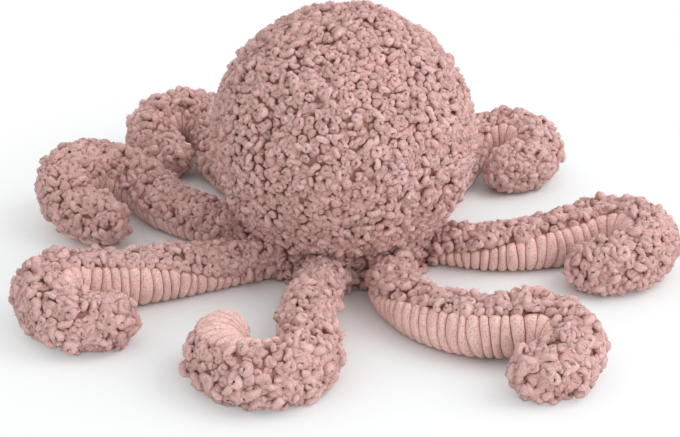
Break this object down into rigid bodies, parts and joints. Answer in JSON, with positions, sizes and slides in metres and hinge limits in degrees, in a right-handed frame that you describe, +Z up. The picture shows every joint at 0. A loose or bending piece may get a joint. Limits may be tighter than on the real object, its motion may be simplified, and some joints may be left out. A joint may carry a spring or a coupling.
{
  "type": "plush octopus",
  "caption": "Stuffed plush octopus: a ball head of sewn pile gores on a flat base, with curled arms of pile and ribbed cloth that flop at the neck and uncurl.",
  "frame": {"origin": "middle of the flat base panel, on the surface that the toy stands on, under the middle of the head", "axes": "+Z up from the base through the crown of the head; -Y towards the front of the toy, the side that the picture shows; +X to its right in that view"},
  "size_m": [0.3977, 0.4189, 0.159],
  "materials": {
    "pile": "curled woolly pile, dusty pink, matt",
    "ribbed": "wide-wale corduroy, ribs about 7 mm apart, pale pink, soft sheen",
    "stuffing": "white fibre filling",
    "base_cloth": "plain corduroy panel, pale pink"
  },
  "bodies": {
    "body": {"head_gore_front": "pile", "head_gore_right": "pile", "head_gore_back_right": "pile", "head_gore_back_left": "pile", "head_gore_left": "pile", "head_filling": "stuffing", "base_panel": "base_cloth", "arm_root_ring": "pile"},
    "front_arm": {"front_arm_pile_strip": "pile", "front_arm_rib_strip": "ribbed", "front_arm_filling": "stuffing"},
    "front_curl": {"front_curl_pile_strip": "pile", "front_curl_rib_strip": "ribbed", "front_curl_filling": "stuffing"},
    "front_right_arm": {"front_right_arm_pile_strip": "pile", "front_right_arm_rib_strip": "ribbed", "front_right_arm_filling": "stuffing"},
    "front_right_curl": {"front_right_curl_pile_strip": "pile", "front_right_curl_rib_strip": "ribbed", "front_right_curl_filling": "stuffing"},
    "right_arm": {"right_arm_pile_strip": "pile", "right_arm_rib_strip": "ribbed", "right_arm_filling": "stuffing"},
    "right_curl": {"right_curl_pile_strip": "pile", "right_curl_rib_strip": "ribbed", "right_curl_filling": "stuffing"},
    "back_right_arm": {"back_right_arm_pile_strip": "pile", "back_right_arm_rib_strip": "ribbed", "back_right_arm_filling": "stuffing"},
    "back_right_curl": {"back_right_curl_pile_strip": "pile", "back_right_curl_rib_strip": "ribbed", "back_right_curl_filling": "stuffing"},
    "back_arm": {"back_arm_pile_strip": "pile", "back_arm_rib_strip": "ribbed", "back_arm_filling": "stuffing"},
    "back_curl": {"back_curl_pile_strip": "pile", "back_curl_rib_strip": "ribbed", "back_curl_filling": "stuffing"},
    "back_left_arm": {"back_left_arm_pile_strip": "pile", "back_left_arm_rib_strip": "ribbed", "back_left_arm_filling": "stuffing"},
    "back_left_curl": {"back_left_curl_pile_strip": "pile", "back_left_curl_rib_strip": "ribbed", "back_left_curl_filling": "stuffing"},
    "left_arm": {"left_arm_pile_strip": "pile", "left_arm_rib_strip": "ribbed", "left_arm_filling": "stuffing"},
    "left_curl": {"left_curl_pile_strip": "pile", "left_curl_rib_strip": "ribbed", "left_curl_filling": "stuffing"},
    "front_left_arm": {"front_left_arm_pile_strip": "pile", "front_left_arm_rib_strip": "ribbed", "front_left_arm_filling": "stuffing"},
    "front_left_curl": {"front_left_curl_pile_strip": "pile", "front_left_curl_rib_strip": "ribbed", "front_left_curl_filling": "stuffing"}
  },
  "joints": [
    {"name": "front_lift", "type": "hinge", "parent": "body", "child": "front_arm", "pos_m": [-0.01343, -0.0726, 0.01203], "axis": [-0.9716, 0.2367, 0], "range_deg": [-45, 50]},
    {"name": "front_curl_opening", "type": "hinge", "parent": "front_arm", "child": "front_curl", "pos_m": [-0.01841, -0.15779, 0.01554], "axis": [0, 0, 1], "range_deg": [-10, 40], "stiffness_Nm_per_rad": 0.01},
    {"name": "front_right_lift", "type": "hinge", "parent": "body", "child": "front_right_arm", "pos_m": [0.02835, -0.06325, 0.01203], "axis": [-1, -0.0098, 0], "range_deg": [-45, 50]},
    {"name": "front_right_curl_opening", "type": "hinge", "parent": "front_right_arm", "child": "front_right_curl", "pos_m": [0.10445, -0.13861, 0.02116], "axis": [0, 0, 1], "range_deg": [-10, 40], "stiffness_Nm_per_rad": 0.01},
    {"name": "right_lift", "type": "hinge", "parent": "body", "child": "right_arm", "pos_m": [0.07084, -0.01757, 0.01203], "axis": [-0.3457, -0.9384, 0], "range_deg": [-45, 50]},
    {"name": "right_curl_opening", "type": "hinge", "parent": "right_arm", "child": "right_curl", "pos_m": [0.14428, -0.00805, 0.01595], "axis": [0, 0, 1], "range_deg": [-10, 40], "stiffness_Nm_per_rad": 0.01},
    {"name": "back_right_lift", "type": "hinge", "parent": "body", "child": "back_right_arm", "pos_m": [0.05286, 0.05015, 0.01203], "axis": [0.8746, -0.4848, 0], "range_deg": [-45, 50]},
    {"name": "back_right_curl_opening", "type": "hinge", "parent": "back_right_arm", "child": "back_right_curl", "pos_m": [0.08163, 0.12136, 0.01588], "axis": [0, 0, 1], "range_deg": [-10, 40], "stiffness_Nm_per_rad": 0.01},
    {"name": "back_lift", "type": "hinge", "parent": "body", "child": "back_arm", "pos_m": [0.00708, 0.07349, 0.01203], "axis": [0.9998, -0.0209, 0], "range_deg": [-45, 50]},
    {"name": "back_curl_opening", "type": "hinge", "parent": "back_arm", "child": "back_curl", "pos_m": [0.0187, 0.16054, 0.01892], "axis": [0, 0, -1], "range_deg": [-10, 40], "stiffness_Nm_per_rad": 0.01},
    {"name": "back_left_lift", "type": "hinge", "parent": "body", "child": "back_left_arm", "pos_m": [-0.04759, 0.05628, 0.01203], "axis": [0.7226, 0.6913, 0], "range_deg": [-45, 50]},
    {"name": "back_left_curl_opening", "type": "hinge", "parent": "back_left_arm", "child": "back_left_curl", "pos_m": [-0.088, 0.1378, 0.02192], "axis": [0, 0, -1], "range_deg": [-10, 40], "stiffness_Nm_per_rad": 0.01},
    {"name": "left_lift", "type": "hinge", "parent": "body", "child": "left_arm", "pos_m": [-0.07309, 0.01114, 0.01203], "axis": [0.3007, 0.9537, 0], "range_deg": [-45, 50]},
    {"name": "left_curl_opening", "type": "hinge", "parent": "left_arm", "child": "left_curl", "pos_m": [-0.12298, 0.0519, 0.0157], "axis": [0, 0, -1], "range_deg": [-10, 40], "stiffness_Nm_per_rad": 0.01},
    {"name": "front_left_lift", "type": "hinge", "parent": "body", "child": "front_left_arm", "pos_m": [-0.06138, -0.04078, 0.01203], "axis": [-0.4243, 0.9055, 0], "range_deg": [-45, 50]},
    {"name": "front_left_curl_opening", "type": "hinge", "parent": "front_left_arm", "child": "front_left_curl", "pos_m": [-0.15447, -0.08041, 0.02068], "axis": [0, 0, -1], "range_deg": [-10, 40], "stiffness_Nm_per_rad": 0.01}
  ]
}
